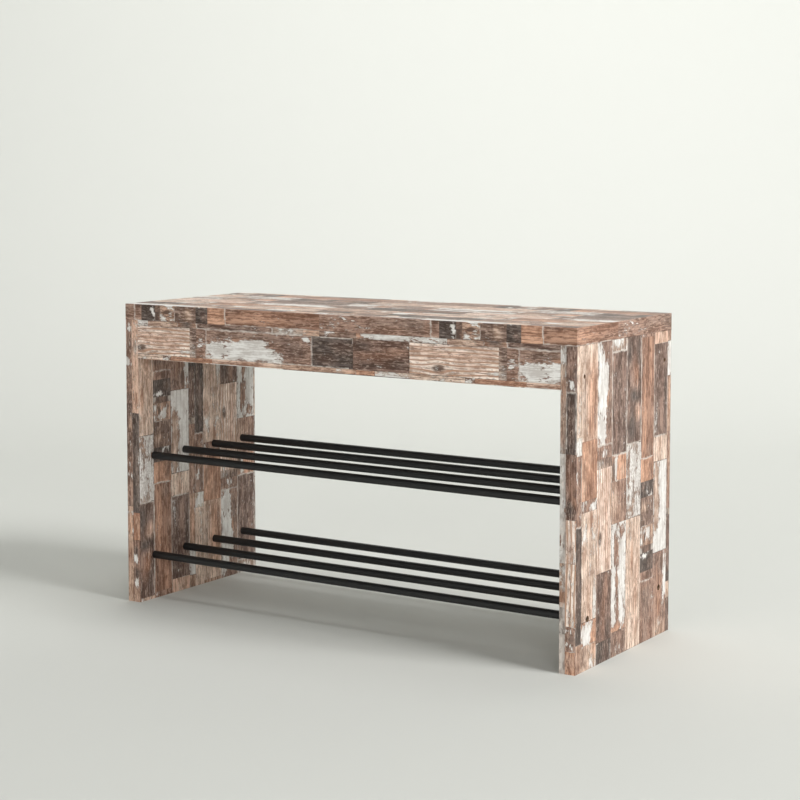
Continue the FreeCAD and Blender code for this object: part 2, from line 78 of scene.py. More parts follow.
TILE = (
    Row(17, 62, (
        Plank(0, "pale_tan", HIDDEN, (
            Mark(18, 25, 14, 7, "grey_brown", 0.8), Mark(8, 52, 9, 8, "paint", 0.7),
            Mark(28, 57, 14, 5, "orange", 0.8))),
        Plank(35, "orange", PALE, (Mark(52, 32, 17, 16, "paint"), Mark(60, 58, 8, 3, "paint", 0.6))),
        Plank(68, "pine", DARK, (
            Mark(96, 58, 30, 6, "paint"), Mark(96, 38, 24, 3, "orange", 0.7),
            Mark(110, 30, 26, 2, "orange", 0.5),
            Mark(78, 46, 10, 6, "orange", 0.4), Mark(136, 44, 5, 10, "brown", 0.8),
            Mark(205, 46, 14, 7, "orange", 0.7),
            Mark(178, 52, 20, 7, "specks"), Mark(190, 27, 18, 6, "paint", 0.6),
            Mark(158, 28, 16, 4, "orange", 0.55),
            Mark(152, 50, 14, 5, "paint", 0.55))),
        Plank(220, "brown", HIDDEN, (Mark(230, 30, 10, 14, "specks"), Mark(226, 54, 9, 8, "paint", 0.8))),
        Plank(236, "orange", HIDDEN, (
            Mark(250, 44, 14, 16, "reddish", 0.7), Mark(268, 24, 26, 6, "tan", 0.8),
            Mark(300, 46, 16, 8, "tan", 0.5),
            Mark(282, 58, 24, 3, "reddish", 0.7))),
        Plank(318, "pine", HIDDEN, (
            Mark(370, 48, 58, 15, "orange", 0.9), Mark(374, 25, 44, 4.5, "grey_brown", 0.75),
            Mark(352, 57, 28, 4, "brown", 0.8), Mark(398, 57, 20, 3, "reddish", 0.7),
            Mark(330, 24, 12, 7, "tan", 0.7))),
        Plank(450, "tan", HIDDEN, (
            Mark(470, 32, 18, 8, "brown", 0.7), Mark(505, 48, 28, 7, "pale_tan", 0.8),
            Mark(530, 26, 12, 6, "specks"),
            Mark(535, 58, 12, 3, "paint", 0.7), Mark(500, 58, 16, 3, "orange", 0.6))),
    )),
    Row(62, 107, (
        Plank(30, "rusty_dark", HIDDEN, (
            Mark(70, 84, 34, 6, "reddish", 0.7), Mark(105, 92, 20, 4, "orange", 0.35),
            Mark(46, 98, 16, 6, "deep_dark", 0.7),
            Mark(108, 74, 18, 6, "deep_dark", 0.6), Mark(88, 66, 36, 3, "specks"),
            Mark(60, 70, 16, 4, "deep_dark", 0.6))),
        Plank(127, "grained_pine", DARK, (
            Mark(228, 75, 24, 2.4, "orange", 0.9), Mark(200, 92, 62, 1.5, "orange", 0.6),
            Mark(190, 83, 54, 1.5, "orange", 0.6),
            Mark(150, 99, 22, 1.5, "orange", 0.6), Mark(262, 66, 18, 4, "paint", 0.55),
            Mark(250, 98, 24, 1.5, "orange", 0.6),
            Mark(144, 67, 16, 2, "orange", 0.4), Mark(175, 72, 8, 7, "tan", 0.7),
            Mark(184, 103, 9, 4, "brown", 0.6)),
            ((175, 72, 3.5),)),
        Plank(274, "grey_brown", HIDDEN, (
            Mark(282, 95, 7, 12, "dark", 0.9), Mark(279, 70, 7, 8, "grey", 0.9),
            Mark(274, 82, 3, 16, "pine", 0.6))),
        Plank(287, "brown", HIDDEN, (Mark(296, 84, 9, 20, "specks"), Mark(299, 98, 7, 6, "dark", 0.6))),
        Plank(306, "brown", WHITISH, (
            Mark(346, 75, 44, 15, "paint"), Mark(392, 80, 34, 19, "paint", 0.95),
            Mark(438, 70, 36, 9, "paint", 0.75),
            Mark(375, 100, 62, 3.5, "grey_brown"), Mark(345, 96, 22, 3, "deep_dark", 0.8),
            Mark(368, 90, 8, 3, "orange", 0.8),
            Mark(350, 67, 16, 2.5, "bare", 0.7), Mark(472, 84, 24, 16, "dark", 0.8),
            Mark(495, 101, 6.5, 6, "paint"),
            Mark(440, 98, 26, 7, "dark", 0.6))),
        Plank(505, "deep_dark", WHITISH, (Mark(530, 74, 18, 7, "dark", 0.7),
            Mark(560, 92, 20, 8, "dark", 0.8))),
    )),
    Row(107, 153, (
        Plank(35, "flaked", DARK, (
            Mark(38, 128, 8, 22, "orange", 0.9), Mark(100, 112, 60, 5, "paint", 0.9),
            Mark(110, 141, 68, 8, "paint", 0.8),
            Mark(152, 122, 22, 6, "bare"), Mark(72, 124, 22, 4, "bare", 0.9),
            Mark(110, 127, 20, 2.5, "bare", 0.8),
            Mark(178, 144, 10, 6, "bare", 0.8), Mark(182, 112, 8, 5, "paint", 0.8))),
        Plank(190, "brown", HIDDEN, (
            Mark(222, 114, 28, 7, "pale_tan", 0.9), Mark(205, 134, 16, 14, "tan", 0.5),
            Mark(238, 112, 10, 5, "specks"),
            Mark(216, 142, 18, 6, "grey_brown", 0.6))),
        Plank(250, "orange", PALE, (
            Mark(268, 111.5, 18, 6, "deep_dark"), Mark(268, 120.5, 18, 3, "paint"),
            Mark(262, 142, 9, 7, "tan", 0.8))),
        Plank(287, "dark", WHITISH, (
            Mark(330, 120, 40, 5, "brown", 0.4), Mark(390, 142, 40, 5, "brown", 0.4),
            Mark(420, 114, 12, 5, "brown", 0.7),
            Mark(355, 148, 60, 3, "specks", 0.8))),
        Plank(433, "grey", WHITISH, (
            Mark(441, 130, 6, 18, "pale_tan", 0.9), Mark(465, 128, 20, 14, "paint", 0.7),
            Mark(452, 146, 12, 5, "brown", 0.8),
            Mark(482, 116, 9, 6, "tan", 0.8))),
        Plank(489, "tan", HIDDEN, (Mark(505, 124, 12, 8, "orange", 0.8),
            Mark(500, 146, 11, 5, "paint", 0.7))),
        Plank(519, "grey_brown", HIDDEN, (
            Mark(535, 118, 14, 7, "tan"), Mark(530, 112, 12, 4, "paint", 0.9),
            Mark(570, 130, 14, 12, "brown", 0.7))),
    )),
    Row(153, 200, (
        Plank(0, "pine", DARK, (
            Mark(132, 175, 24, 3.5, "orange", 0.9), Mark(80, 170, 60, 3, "orange", 0.35),
            Mark(60, 184, 50, 4, "pink_tan"),
            Mark(130, 190, 46, 3, "pink_tan", 0.9), Mark(70, 158, 60, 3, "pale_tan", 0.9))),
        Plank(190, "crackled", DARK, (
            Mark(262, 160, 36, 5, "brown", 0.7), Mark(206, 170, 16, 14, "tan", 0.45),
            Mark(290, 186, 10, 10, "grey", 0.8))),
        Plank(297, "dark", WHITISH, (
            Mark(402, 176, 20, 12, "brown"), Mark(394, 184, 12, 6, "orange", 0.7),
            Mark(341, 189, 11, 9, "pink_tan", 0.85),
            Mark(364, 180, 6, 20, "deep_dark"), Mark(322, 168, 22, 12, "deep_dark", 0.95),
            Mark(430, 162, 18, 5, "deep_dark"),
            Mark(425, 192, 22, 5, "deep_dark", 0.7), Mark(352, 160, 22, 4, "brown", 0.6))),
        Plank(450, "pale_tan", HIDDEN, (
            Mark(485, 170, 26, 6, "grey", 0.9), Mark(525, 186, 22, 6, "tan"),
            Mark(470, 192, 16, 4, "orange", 0.5))),
    )),
    Row(200, 243, (
        Plank(90, "brown", WHITISH, (Mark(98, 230, 8, 12, "dark", 0.8),)),
        Plank(104, "deep_dark", HIDDEN, (Mark(114, 234, 8, 7, "dark", 0.8),
            Mark(128, 212, 4, 13, "paint", 0.9))),
        Plank(132, "brown", PALE, (Mark(134, 236, 8, 6, "dark", 0.8),)),
        Plank(141, "tan", DARK, (
            Mark(148, 206, 8, 8, "paint"), Mark(158, 225, 9, 6, "paint", 0.9),
            Mark(158, 214, 5, 4, "orange"),
            Mark(147, 236, 7, 5, "dark", 0.8), Mark(166, 208, 4, 8, "paint", 0.7)), ((156, 215, 2.5),)),
        Plank(171, "grey_brown", PALE, (
            Mark(198, 214, 5, 10, "pale_tan", 0.9), Mark(185, 230, 12, 8, "dark"),
            Mark(178, 210, 7, 6, "dark", 0.8),
            Mark(206, 236, 8, 3, "specks"))),
        Plank(213, "deep_dark", HIDDEN, (Mark(222, 221, 8, 4, "paint", 0.7),
            Mark(216, 234, 6, 7, "paint", 0.8),
                                         Mark(230, 210, 6, 6, "dark"))),
        Plank(236, "orange", HIDDEN, (Mark(244, 236, 10, 6, "dark", 0.7),
            Mark(262, 234, 7, 7, "grey_brown", 0.6))),
        Plank(270, "reddish", WHITISH, (
            Mark(330, 212, 50, 5, "orange", 0.7), Mark(400, 230, 42, 5, "orange", 0.4),
            Mark(345, 234, 26, 5, "brown", 0.6),
            Mark(284, 230, 12, 9, "grey_brown", 0.7), Mark(420, 208, 22, 3, "brown", 0.6))),
        Plank(446, "brown", HIDDEN, (
            Mark(468, 212, 22, 9, "specks"), Mark(500, 226, 26, 12, "specks"),
            Mark(535, 208, 20, 4, "specks"),
            Mark(560, 216, 26, 9, "grey_brown", 0.8), Mark(580, 208, 30, 5, "reddish", 0.4),
            Mark(612, 220, 24, 16, "grey_brown"),
            Mark(599, 240, 26, 2, "paint"), Mark(632, 216, 5, 13, "reddish", 0.4))),
    )),
    Row(243, 288, (
        Plank(0, "brown", HIDDEN, (
            Mark(84, 282, 42, 7, "paint", 0.8), Mark(114, 253, 10, 11, "dark"),
            Mark(70, 262, 46, 8, "reddish", 0.6),
            Mark(52, 264, 24, 6, "orange", 0.6), Mark(8, 264, 14, 18, "pale_tan", 0.9),
            Mark(106, 270, 14, 8, "grey_brown"),
            Mark(30, 280, 10, 6, "dark", 0.7))),
        Plank(125, "flaked", DARK, (
            Mark(208, 252, 52, 8, "pine"), Mark(208, 251, 50, 6, "bare", 0.8),
            Mark(160, 276, 36, 12, "paint"),
            Mark(225, 276, 34, 12, "paint", 0.9), Mark(140, 256, 16, 10, "paint"))),
        Plank(260, "pine", DARK, (Mark(278, 262, 14, 4, "pink_tan", 0.8),)),
        Plank(297, "dark", WHITISH, (
            Mark(365, 247.5, 60, 2.6, "specks"), Mark(330, 268, 30, 7, "brown", 0.6),
            Mark(395, 272, 34, 7, "rusty_dark"),
            Mark(312, 250, 12, 6, "specks"), Mark(360, 280, 34, 3, "deep_dark", 0.7))),
        Plank(433, "pink_tan", PALE, (Mark(460, 268, 20, 8, "pale_tan"),
            Mark(475, 252, 9, 5, "paint", 0.8))),
        Plank(486, "flaked", HIDDEN, (Mark(512, 258, 20, 9, "paint"), Mark(525, 278, 18, 6, "tan", 0.9))),
    )),
    Row(288, 303, (
        Plank(0, "dark", HIDDEN),
        Plank(50, "pale_tan", DARK),
        Plank(75, "deep_dark", DARK),
        Plank(90, "dark", HIDDEN, (Mark(130, 296, 30, 4, "rusty_dark"),)),
        Plank(175, "cream", DARK),
        Plank(185, "brown", HIDDEN, (Mark(240, 296, 34, 4, "tan", 0.8),)),
        Plank(300, "tan", HIDDEN, (Mark(350, 296, 24, 4, "orange", 0.7),)),
        Plank(383, "flaked", DARK, (Mark(410, 296, 22, 6, "paint"),)),
        Plank(435, "tan", DARK, (Mark(475, 294, 26, 4, "grey_brown"), Mark(520, 298, 18, 4, "dark"))),
    )),
    Row(303, 325, (
        Plank(40, "deep_dark", PALE, (Mark(110, 312, 40, 4, "dark"), Mark(150, 320, 28, 3, "brown", 0.6))),
        Plank(202, "brown", WHITISH, (Mark(222, 316, 14, 6, "specks"), Mark(245, 312, 14, 6, "specks"),
                                      Mark(280, 320, 12, 5, "dark", 0.8),
                                      Mark(270, 308, 9, 5, "paint", 0.8))),
        Plank(300, "cream", HIDDEN, (Mark(312, 314, 9, 7, "paint", 0.7),)),
        Plank(325, "pine", HIDDEN, (Mark(390, 313, 40, 4, "tan", 0.6),
            Mark(350, 318, 24, 4, "specks", 0.8))),
        Plank(466, "deep_dark", DARK, (Mark(495, 314, 18, 4, "brown"),)),
        Plank(526, "tan", DARK, (Mark(560, 314, 20, 5, "brown"),)),
    )),
)

# The front edges of the side panels carry strips of their own: along is down from the seat's top.
LEFT_EDGE = (
    Row(0, 12, (
        Plank(25, "brown", HIDDEN, (
            Mark(38, 9, 8, 4.5, "paint"), Mark(62, 6, 16, 8, "grey_brown"), Mark(93, 4.5, 7, 5, "paint"),
            Mark(122, 9, 6, 1.6, "paint", 0.9), Mark(112, 5, 10, 8, "grey_brown"),
            Mark(150, 5, 12, 8, "dark"))),
        Plank(158, "dark", HIDDEN, (Mark(192, 8, 9, 5, "tan", 0.8),)),
        Plank(204, "grey_brown", HIDDEN, (
            Mark(228, 5, 18, 7, "dark", 0.8), Mark(256, 7, 12, 6, "brown"), Mark(275, 9, 3, 3, "paint"),
            Mark(298, 6, 16, 7, "brown"))),
        Plank(322, "tan", DARK, (
            Mark(334, 7, 3, 6, "paint", 0.9), Mark(352, 5, 14, 7, "orange", 0.6),
            Mark(366, 11, 6, 4, "paint"),
            Mark(400, 4, 18, 5, "reddish"), Mark(440, 6, 22, 8, "tan"))),
    )),
    Row(12, 25, (
        Plank(25, "pink_tan", HIDDEN, (Mark(68, 20, 9, 5, "grey"), Mark(118, 18, 14, 6, "tan"),
            Mark(34, 22, 6, 4, "paint", 0.7))),
        Plank(173, "deep_dark", HIDDEN, (Mark(240, 15, 60, 2.5, "dark"),
            Mark(262, 22, 60, 3, "grey", 0.6))),
        Plank(332, "orange", HIDDEN, (Mark(350, 20, 12, 6, "tan", 0.8),)),
        Plank(376, "brown", DARK, (
            Mark(392, 17, 8, 5, "deep_dark"), Mark(406, 17, 10, 5, "paint"),
            Mark(430, 19, 7, 6, "deep_dark"),
            Mark(448, 18, 14, 5, "paint", 0.75), Mark(466, 17, 9, 7, "tan"))),
    )),
)
RIGHT_EDGE = (
    Row(0, 9, (
        Plank(25, "grey", HIDDEN, (Mark(40, 5, 14, 6, "paint", 0.6), Mark(60, 5, 10, 6, "pale_tan"),
            Mark(86, 5, 20, 6, "pink_tan"),
                                Mark(107, 5, 3, 7, "brown"), Mark(128, 5, 14, 6, "tan", 0.8),
                                Mark(150, 4, 12, 5, "brown"))),
        Plank(172, "flaked", PALE, (Mark(245, 5, 90, 7, "paint"), Mark(290, 2, 10, 3, "brown"))),
        Plank(322, "tan", PALE, (Mark(332, 7, 7, 4, "paint"), Mark(344, 4, 6, 5, "brown"),
            Mark(366, 5, 14, 7, "orange", 0.6))),
        Plank(383, "deep_dark", WHITISH),
        Plank(420, "dark", WHITISH, (Mark(452, 4, 20, 4, "rusty_dark"),)),
    )),
    Row(9, 25, (
        Plank(25, "dark", HIDDEN, (
            Mark(38, 20, 10, 6, "rusty_dark"), Mark(55, 17, 12, 7, "brown", 0.8),
            Mark(76, 15, 6, 5.5, "paint"),
            Mark(62, 22, 8, 4, "deep_dark"))),
        Plank(88, "deep_dark", WHITISH, (Mark(130, 17, 30, 5, "dark"),)),
        Plank(172, "rusty_dark", HIDDEN, (
            Mark(195, 13, 14, 4, "brown"), Mark(215, 18, 16, 6, "reddish", 0.7),
            Mark(238, 22, 8, 4, "orange", 0.6),
            Mark(248, 15, 10, 6, "deep_dark"))),
        Plank(262, "grained_pine", PALE, (Mark(300, 14, 9, 5, "brown", 0.8),
            Mark(316, 20, 8, 4, "orange", 0.6))),
        Plank(322, "grained_pine", HIDDEN, (Mark(398, 18, 9, 7, "paint", 0.6),)),
        Plank(409, "brown", PALE, (Mark(418, 13, 6, 4, "paint"), Mark(428, 20, 8, 5, "deep_dark"),
            Mark(436, 14, 5, 5, "paint", 0.7))),
        Plank(443, "orange", PALE, (Mark(460, 20, 10, 5, "brown"), Mark(455, 12, 8, 4, "tan"))),
    )),
)

# A look says which pattern a board shows: the axis along the grain with its direction and start,
# and the same across. repeats says whether the rows repeat across the grain.
LOOK_FIELDS = "rows along_axis along_sign along_zero across_axis across_sign across_zero repeats"
Look = namedtuple("Look", LOOK_FIELDS, defaults=(True,))
X, Y, Z = 0, 1, 2

RING_SPACING = 6.0 * MM  # between growth rings on strongly grained planks
GRID_STEP = 7 * MM  # how finely the boards carry the decor's soft marks
END_REACH = 7.0  # mm from a plank's end where its joint is the next plank's
WOBBLE_ALONG = 4.5  # mm that the marks' outlines wander along the grain
WOBBLE_ACROSS = 1.8
WANDER_LENGTH = 22  # mm over which the outlines wander
WANDER_WIDTH = 9
ROW_SEED = 3.1  # keeps the noise of different rows and planks apart
PLANK_SEED = 7.7
SHARP_ANGLE = math.radians(30)
NOISE_SEED = 1  # without a seed the noise starts from the clock, and every run differs
NO_KNOT = 1.0  # metres, far from any knot
TINY_KNOT = 0.001


def linear(tone):
    """An sRGB tone of 0 to 255 as linear light."""
    return tuple((c / 255 / 12.92) if c <= 10 else ((c / 255 + 0.055) / 1.055) ** 2.4 for c in tone)


def plank_spans(row):
    """Each plank with its end along the grain and the joint there, which is the next plank's."""
    after = row.planks[1:] + row.planks[:1]
    ends = [plank.start for plank in row.planks[1:]] + [row.planks[0].start + REPEAT_ALONG]
    return [(plank, end, following.joint) for plank, end, following in zip(row.planks, ends, after)]


def wrap(values, low, period):
    return low + np.mod(values - low, period)


def decor_place(points, look):
    """Where points in metres lie on the decor, in mm along and across the grain."""
    along = points[:, look.along_axis] * look.along_sign / MM + look.along_zero
    across = points[:, look.across_axis] * look.across_sign / MM + look.across_zero
    return along, across


def oval_weight(along, across, mark):
    """How strongly a mark covers each place: 1 inside it and 0 well outside."""
    reach = (np.abs((along - mark.along) / mark.half_along) ** 2.5
             + np.abs((across - mark.across) / mark.half_across) ** 2.5) ** 0.4
    return mark.strength * np.clip((1.45 - reach) / 0.9, 0, 1)


def blended(values, target, weight):
    if target is None:
        return values
    return values + (target - values) * weight[:, None]


def plank_values(plank, along, across):
    """The finish at each place on one plank: tone, grain, paint, crackle and rings."""
    values = [np.tile(part, (len(along), 1)) for part in finish_parts(plank.finish)]
    for mark in plank.marks:
        weight = oval_weight(along, across, mark)
        values = [blended(value, part, weight) for value, part in zip(values, finish_parts(mark.finish))]
    return values


def finish_parts(name):
    """A finish's tone in linear light and its other values, each as an array or None."""
    finish = FINISHES[name]
    tone = None if finish.tone is None else np.array(linear(finish.tone))
    return [tone] + [None if part is None else np.array([part]) for part in finish[1:]]


def paint_decor(mesh, look):
    """Writes the decor on the mesh's corners: its place, tones, paint, plank edges and nearest knot."""
    points = np.array([v.co for v in mesh.vertices]).reshape(-1, 3)
    corner_vertex = np.array([loop.vertex_index for loop in mesh.loops])
    corner_face = np.repeat(np.arange(len(mesh.polygons)), [p.loop_total for p in mesh.polygons])
    centres = np.array([p.center for p in mesh.polygons]).reshape(-1, 3)
    along, across = decor_place(points[corner_vertex], look)
    mid_along, mid_across = decor_place(centres, look)
    if look.repeats:
        low = look.rows[0].low
        shift = wrap(mid_across, low, REPEAT_ACROSS) - mid_across
        mid_across = mid_across + shift
        across = across + shift[corner_face]
    wander = np.array([noise.noise_vector((a / WANDER_LENGTH, c / WANDER_WIDTH, 0.5))
                       for a, c in zip(along, across)])
    count = len(along)
    tile = np.zeros((count, 3))
    knot = np.tile((NO_KNOT, NO_KNOT, TINY_KNOT), (count, 1))
    border = np.full((count, 3), 1.0)
    tone = np.zeros((count, 4))
    wear = np.zeros((count, 4))
    for row_number, row in enumerate(look.rows):
        in_row = (mid_across >= row.low) & (mid_across < row.high)
        local = wrap(mid_along, row.planks[0].start, REPEAT_ALONG)
        for number, (plank, end, end_joint) in enumerate(plank_spans(row)):
            face_in = in_row & (local >= plank.start) & (local < end)
            here = face_in[corner_face]
            if not here.any():
                continue
            a = (along + (local - mid_along)[corner_face])[here]
            c = across[here]
            marked_along = a + wander[here][:, 0] * WOBBLE_ALONG
            marked_across = c + wander[here][:, 1] * WOBBLE_ACROSS
            plank_tone, grain, paint, crackle, rings = plank_values(plank, marked_along, marked_across)
            seed = row_number * ROW_SEED + number * PLANK_SEED
            tile[here] = np.stack([a * MM, c * MM, np.full(len(a), seed)], 1)
            tone[here] = np.hstack([plank_tone, np.ones((len(a), 1))])
            wear[here] = np.hstack([paint, grain, crackle, rings])
            edge_across = np.minimum(c - row.low, row.high - c)
            edge_along = np.minimum(a - plank.start, end - a)
            to_end = (end - local)[corner_face][here]
            to_side = np.minimum(mid_across - row.low, row.high - mid_across)[corner_face][here]
            kind = np.where((to_end < END_REACH) & (to_end < to_side), end_joint, plank.joint)
            border[here] = np.stack([edge_across * MM, edge_along * MM, kind], 1)
            knot[here] = nearest_knot(plank, a, c, local[corner_face][here])
    write_vectors(mesh, "tile", tile)
    write_vectors(mesh, "knot", knot)
    write_vectors(mesh, "border", border)
    write_tones(mesh, "tone", tone)
    write_tones(mesh, "wear", wear)


def nearest_knot(plank, along, across, face_along):
    """Each corner's offset in metres from the nearest knot along the grain, and the knot's radius."""
    found = np.tile((NO_KNOT, NO_KNOT, TINY_KNOT), (len(along), 1))
    nearest = np.full(len(along), np.inf)
    for place_along, place_across, radius in plank.knots:
        distance = np.abs(face_along - place_along)
        offset = np.stack([along - place_along, across - place_across, np.full(len(along), radius)], 1) * MM
        closer = distance < nearest
        found[closer] = offset[closer]
        nearest[closer] = distance[closer]
    return found


def write_vectors(mesh, name, values):
    attribute = mesh.attributes.new(name, "FLOAT_VECTOR", "CORNER")
    attribute.data.foreach_set("vector", values.astype(np.float32).ravel())


def write_tones(mesh, name, values):
    attribute = mesh.attributes.new(name, "FLOAT_COLOR", "CORNER")
    attribute.data.foreach_set("color", values.astype(np.float32).ravel())


# ---------------------------------------------------------------------------
# Board shapes
# ---------------------------------------------------------------------------

EDGE_ROUND = 0.8 * MM
ROUND_STEPS = (0.0, math.radians(22.5), math.radians(45))


def decor_lines(axis, low, high, look):
    """The decor's plank edges that cross an axis between low and high, in metres."""
    places = []
    if axis == look.along_axis:
        sign, zero, period = look.along_sign, look.along_zero, REPEAT_ALONG
        marks = sorted({plank.start for row in look.rows for plank in row.planks})
    elif axis == look.across_axis:
        sign, zero, period = look.across_sign, look.across_zero, REPEAT_ACROSS
        marks = sorted({row.low for row in look.rows})
    else:
        return places
    for mark in marks:
        for turn in range(-4, 5):
            place = (mark + turn * period - zero) * sign * MM
            if low < place < high:
                places.append(place)
    return places


def axis_cuts(axis, low, high, look, rounded):
    """Where the board's mesh is cut along one axis: ends, rounded corners, plank edges and even steps."""
    cuts = [low, high]
    first, last = low, high
    if rounded[0]:
        cuts += [low + EDGE_ROUND * (1 - math.tan(t)) for t in ROUND_STEPS]
        first = low + EDGE_ROUND
    if rounded[1]:
        cuts += [high - EDGE_ROUND * (1 - math.tan(t)) for t in ROUND_STEPS]
        last = high - EDGE_ROUND
    closest = 0.3 * MM
    for place in decor_lines(axis, first + closest, last - closest, look):
        if all(abs(place - cut) > closest for cut in cuts):
            cuts.append(place)
    cuts = sorted({round(cut, 7) for cut in cuts})
    filled = [cuts[0]]
    for start, end in zip(cuts, cuts[1:]):
        parts = max(1, round((end - start) / GRID_STEP))
        filled += [start + (end - start) * k / parts for k in range(1, parts + 1)]
    return filled


def board_mesh(name, low, high, look, rounded):
    """A closed box whose faces are cut along the decor, with the corners named in rounded made round."""
    cuts = [axis_cuts(axis, low[axis], high[axis], look, rounded[axis]) for axis in (X, Y, Z)]
    inner_low = [low[a] + (EDGE_ROUND if rounded[a][0] else 0) for a in (X, Y, Z)]
    inner_high = [high[a] - (EDGE_ROUND if rounded[a][1] else 0) for a in (X, Y, Z)]
    found, vertices, faces = {}, [], []

    def vertex(key):
        if key not in found:
            point = Vector([cuts[a][key[a]] for a in (X, Y, Z)])
            core = Vector([min(max(point[a], inner_low[a]), inner_high[a]) for a in (X, Y, Z)])
            away = point - core
            if away.length > 0:
                point = core + away.normalized() * EDGE_ROUND
            found[key] = len(vertices)
            vertices.append(point)
        return found[key]

    for axis in (X, Y, Z):
        b, c = (axis + 1) % 3, (axis + 2) % 3
        for side in (0, len(cuts[axis]) - 1):
            for i in range(len(cuts[b]) - 1):
                for j in range(len(cuts[c]) - 1):
                    ring = []
                    for di, dj in ((0, 0), (1, 0), (1, 1), (0, 1)):
                        key = [0, 0, 0]
                        key[axis], key[b], key[c] = side, i + di, j + dj
                        ring.append(vertex(tuple(key)))
                    faces.append(ring if side else ring[::-1])
    mesh = bpy.data.meshes.new(name)
    mesh.from_pydata(vertices, [], faces)
    mesh.update()
    return mesh


def cylinder_cutter(name, holes):
    """One mesh of closed cylinders. A hole is its centre, radius, and how far it runs each way along X."""
    sides = 48
    vertices, faces = [], []
    for (x_start, x_end), y, z, radius in holes:
        base = len(vertices)
        for x in (min(x_start, x_end), max(x_start, x_end)):
            for k in range(sides):
                turn = 2 * math.pi * k / sides
                vertices.append((x, y + radius * math.cos(turn), z + radius * math.sin(turn)))
        faces.append([base + k for k in range(sides)][::-1])
        faces.append([base + sides + k for k in range(sides)])
        for k in range(sides):
            n = (k + 1) % sides
            faces.append([base + k, base + n, base + sides + n, base + sides + k])
    mesh = bpy.data.meshes.new(name)
    mesh.from_pydata(vertices, [], faces)
    mesh.update()
    return mesh


def drill(board, holes, core):
    """Cuts the holes from the board. Their walls show the board's core, whose darker tone is painted shade.
    """
    cutter_mesh = cylinder_cutter("cutter", holes)
    cutter_mesh.materials.append(None)
    cutter_mesh.materials.append(core)
    for polygon in cutter_mesh.polygons:
        polygon.material_index = 1
    cutter = bpy.data.objects.new("cutter", cutter_mesh)
    bpy.context.scene.collection.objects.link(cutter)
    modifier = board.modifiers.new("holes", "BOOLEAN")
    modifier.operation = "DIFFERENCE"
    modifier.solver = "EXACT"
    modifier.object = cutter
    graph = bpy.context.evaluated_depsgraph_get()
    cut = bpy.data.meshes.new_from_object(board.evaluated_get(graph))
    board.modifiers.clear()
    old, board.data = board.data, cut
    bpy.data.meshes.remove(old)
    bpy.data.objects.remove(cutter)
    bpy.data.meshes.remove(cutter_mesh)


def add_board(name, node, look, decor, core, rounded, holes, core_sides):
    """A board in the place of one CAD node, with the decor. core_sides: axis and way of bare faces."""
    low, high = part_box(node)
    mesh = board_mesh(name, low, high, look, rounded)
    board = bpy.data.objects.new(name, mesh)
    bpy.context.scene.collection.objects.link(board)
    mesh.materials.append(decor)
    mesh.materials.append(core)
    if holes:
        drill(board, holes, core)
        mesh = board.data
    for polygon in mesh.polygons:
        if any(polygon.normal[axis] * way > 0.9 for axis, way in core_sides):
            polygon.material_index = 1
    paint_decor(mesh, look)
    mesh.shade_smooth()
    mesh.set_sharp_from_angle(angle=SHARP_ANGLE)
    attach(board, BODY)
    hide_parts(node)
    return board


# ---------------------------------------------------------------------------
# Materials
# ---------------------------------------------------------------------------


